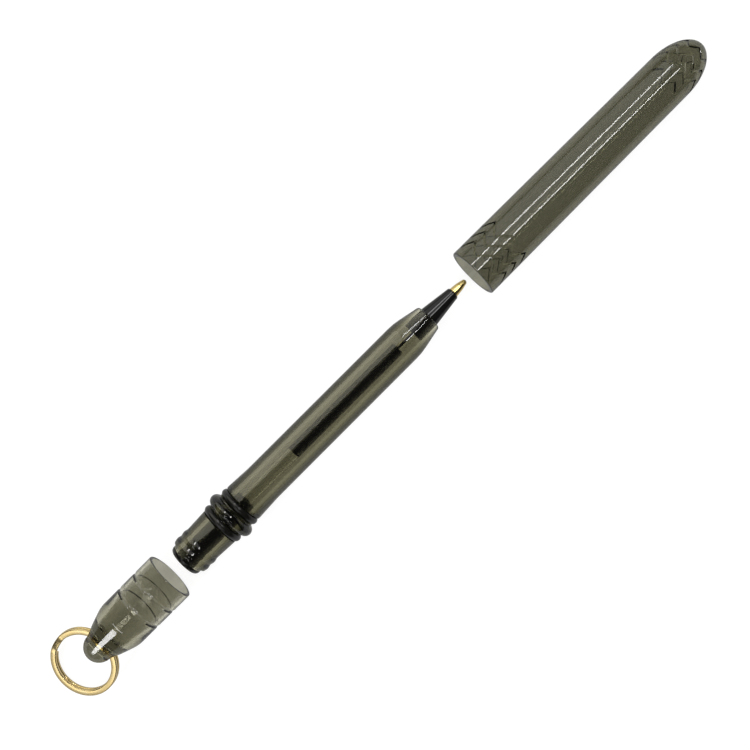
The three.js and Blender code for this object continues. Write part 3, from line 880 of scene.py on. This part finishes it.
def floor_material():
    """A pale floor that the camera sees nearly white, and quite white far from the pen, so that
    its edge doesn't show. Seen through the plastic its glow is dim close to the pen's axis: a
    painted shade that stands for the pen's shadow there. It still takes the pen's real shadow."""
    near_white, far_white, in_gloss = 0.88, 1.0, 0.3
    material, tree = new_material("pale_floor")
    ray = node(tree, "ShaderNodeLightPath").outputs
    spot = node(tree, "ShaderNodeTexCoord").outputs["Object"]
    axes = node(tree, "ShaderNodeSeparateXYZ", {0: spot})
    away = node(tree, "ShaderNodeVectorMath", {0: spot}, operation="LENGTH")
    white = node(tree, "ShaderNodeMapRange", {
        "Value": away.outputs["Value"], "From Min": 0.2, "From Max": 0.6,
        "To Min": near_white, "To Max": far_white}, interpolation_type="SMOOTHSTEP")
    # Painted shade: seen through the plastic, the floor's glow drops to 0.4 within 5 to 12 mm of
    # the pen's axis, standing for the pen's shadow there
    shade = node(tree, "ShaderNodeMapRange", {
        "Value": maths(tree, "ABSOLUTE", axes.outputs["Y"]), "From Min": 5 * MM,
        "From Max": 12 * MM, "To Min": 0.4, "To Max": 1.0}, interpolation_type="SMOOTHSTEP")
    seen = maths(tree, "MULTIPLY_ADD", ray["Is Transmission Ray"], shade.outputs["Result"],
                 ray["Is Camera Ray"])
    shine = maths(tree, "MULTIPLY", ray["Is Glossy Ray"], in_gloss)
    glow = maths(tree, "MULTIPLY_ADD", seen, white.outputs["Result"], shine)
    shader = node(tree, "ShaderNodeBsdfPrincipled", {
        "Base Color": (0.22, 0.22, 0.22, 1), "Roughness": 0.9, "Specular IOR Level": 0.1,
        "Emission Color": (1, 1, 1, 1), "Emission Strength": glow})
    node(tree, "ShaderNodeOutputMaterial", {"Surface": shader.outputs[0]})
    return material


def studio_world():
    """White to the camera, dim in gloss and as light. Seen through the plastic it is white
    low down and dark overhead, so that black pieces inside stay black."""
    in_gloss, as_light, low, high, overhead = 0.05, 0.3, 0.35, 0.7, 0.05
    world = bpy.data.worlds.new("studio")
    world.use_nodes = True
    tree = world.node_tree
    tree.nodes.clear()
    ray = node(tree, "ShaderNodeLightPath").outputs
    direction = node(tree, "ShaderNodeSeparateXYZ", {
        0: node(tree, "ShaderNodeTexCoord").outputs["Generated"]})
    backdrop = node(tree, "ShaderNodeMapRange", {
        "Value": direction.outputs["Z"], "From Min": low, "From Max": high,
        "To Min": 1.0, "To Max": overhead})
    through = maths(tree, "MULTIPLY", ray["Is Transmission Ray"], backdrop.outputs["Result"])
    seen = maths(tree, "ADD", ray["Is Camera Ray"], through)
    glossy = maths(tree, "MULTIPLY_ADD", ray["Is Glossy Ray"], in_gloss, seen)
    strength = maths(tree, "MULTIPLY_ADD", ray["Is Diffuse Ray"], as_light, glossy)
    light = node(tree, "ShaderNodeBackground", {"Color": (1, 1, 1, 1), "Strength": strength})
    node(tree, "ShaderNodeOutputWorld", {"Surface": light.outputs[0]})
    return world


def photo_camera():
    """A camera over the pen, tilted a little along it and turned so that the pen lies from the
    lower left to the upper right."""
    tilt, distance = math.radians(2.5), 0.23134
    middle_x, middle_y = COLLAR_X + 43.1 * MM, -0.6 * MM
    data = bpy.data.cameras.new("camera")
    data.lens = FOCAL_PIXELS / PHOTO_WIDTH * SENSOR_MM
    data.sensor_width = SENSOR_MM
    data.clip_start = 0.01
    camera = bpy.data.objects.new("camera", data)
    bpy.context.scene.collection.objects.link(camera)
    forward = Vector((math.sin(tilt), 0, -math.cos(tilt)))
    along = Vector((math.cos(tilt), 0, math.sin(tilt)))
    across = Vector((0, 1, 0))
    rows = Matrix((
        (along - across).normalized(), (along + across).normalized(), -forward)).transposed()
    place = Vector((middle_x, middle_y, AXIS_Z)) - forward * distance
    camera.matrix_world = Matrix.Translation(place) @ rows.to_4x4()
    return camera


class PEN_OT_stage(bpy.types.Operator):
    """Set the floor, the lamps, the world and the camera"""
    bl_idname = "pen.stage"
    bl_label = "Stage"

    def execute(self, context):
        scene = context.scene
        scene.view_settings.view_transform = "Standard"
        select_only()
        bpy.ops.mesh.primitive_plane_add(size=3, location=(0, 0, 0))
        floor = bpy.context.object
        floor.name = "floor"
        floor.data.materials.append(floor_material())
        scene.world = studio_world()

        # The sides that the lamps lean to, and the long cap's place and reach along X
        beside, behind = (0, 1, 0), (-1, 0, 0)
        cap_x, cap_reach = 0.265, 0.27
        panel_lamp("cap_strip_left", beside, 25.6, 30.4, cap_x, cap_reach, 11)
        panel_lamp("cap_strip_right", beside, -8.4, -3.6, cap_x, cap_reach, 11)
        panel_lamp("cap_panel", beside, -3, 82, cap_x, cap_reach, 0.7)
        panel_lamp("pen_panel", beside, 16.5, 90, -0.04, 0.33, 1.3, (1, 0.98, 0.86))
        panel_lamp("boss_strip", behind, 31, 34, 0, 0.55, 4)
        panel_lamp("ring_panel", behind, 50, 65.5, 0, 0.24, 1.5)
        panel_lamp("ring_shade", behind, 65.5, 80, 0, 0.5, 0.4)
        end_lamp = panel_lamp("end_panel", behind, 42, 63, 0, 0.2, 11)
        # The end cap's long glint comes from a lamp that would drown the ring and the barrel
        shielded = bpy.data.collections.new("shielded_from_end_panel")
        for name in ("ring_wire", "barrel_shell", "front_seal", "rear_seal", "rear_stopper"):
            shielded.objects.link(bpy.data.objects[name])
        end_lamp.light_linking.receiver_collection = shielded
        for member in shielded.collection_objects:
            member.light_linking.link_state = "EXCLUDE"
        scene.camera = photo_camera()
        return {"FINISHED"}


class PEN_PT_panel(bpy.types.Panel):
    """Lists the pen's pieces, sizes and colours in the sidebar"""
    bl_idname = "PEN_PT_panel"
    bl_label = "Pocket Pen"
    bl_space_type = "VIEW_3D"
    bl_region_type = "UI"
    bl_category = "Pocket Pen"

    def draw(self, context):
        layout = self.layout
        for group in (context.scene.pen_sizes, context.scene.pen_looks):
            column = layout.column()
            for key in group.__annotations__:
                column.prop(group, key)
        column = layout.column()
        for operator in OPERATORS:
            column.operator(operator.bl_idname)


OPERATORS = (
    PEN_OT_barrel,
    PEN_OT_seals,
    PEN_OT_nose_cone,
    PEN_OT_point,
    PEN_OT_refill,
    PEN_OT_rear_plug,
    PEN_OT_long_cap,
    PEN_OT_end_cap,
    PEN_OT_split_ring,
    PEN_OT_stage,
)
CLASSES = (PenSizes, PenLooks, *OPERATORS, PEN_PT_panel)


def register():
    for each in CLASSES:
        bpy.utils.register_class(each)
    bpy.types.Scene.pen_sizes = PointerProperty(type=PenSizes)
    bpy.types.Scene.pen_looks = PointerProperty(type=PenLooks)


def unregister():
    del bpy.types.Scene.pen_looks
    del bpy.types.Scene.pen_sizes
    for each in reversed(CLASSES):
        bpy.utils.unregister_class(each)


def main():
    register()
    bpy.ops.pen.barrel()
    bpy.ops.pen.seals()
    bpy.ops.pen.nose_cone()
    bpy.ops.pen.point()
    bpy.ops.pen.refill()
    bpy.ops.pen.rear_plug()
    bpy.ops.pen.long_cap()
    bpy.ops.pen.end_cap()
    bpy.ops.pen.split_ring()
    bpy.ops.pen.stage()


if __name__ == "__main__":
    main()
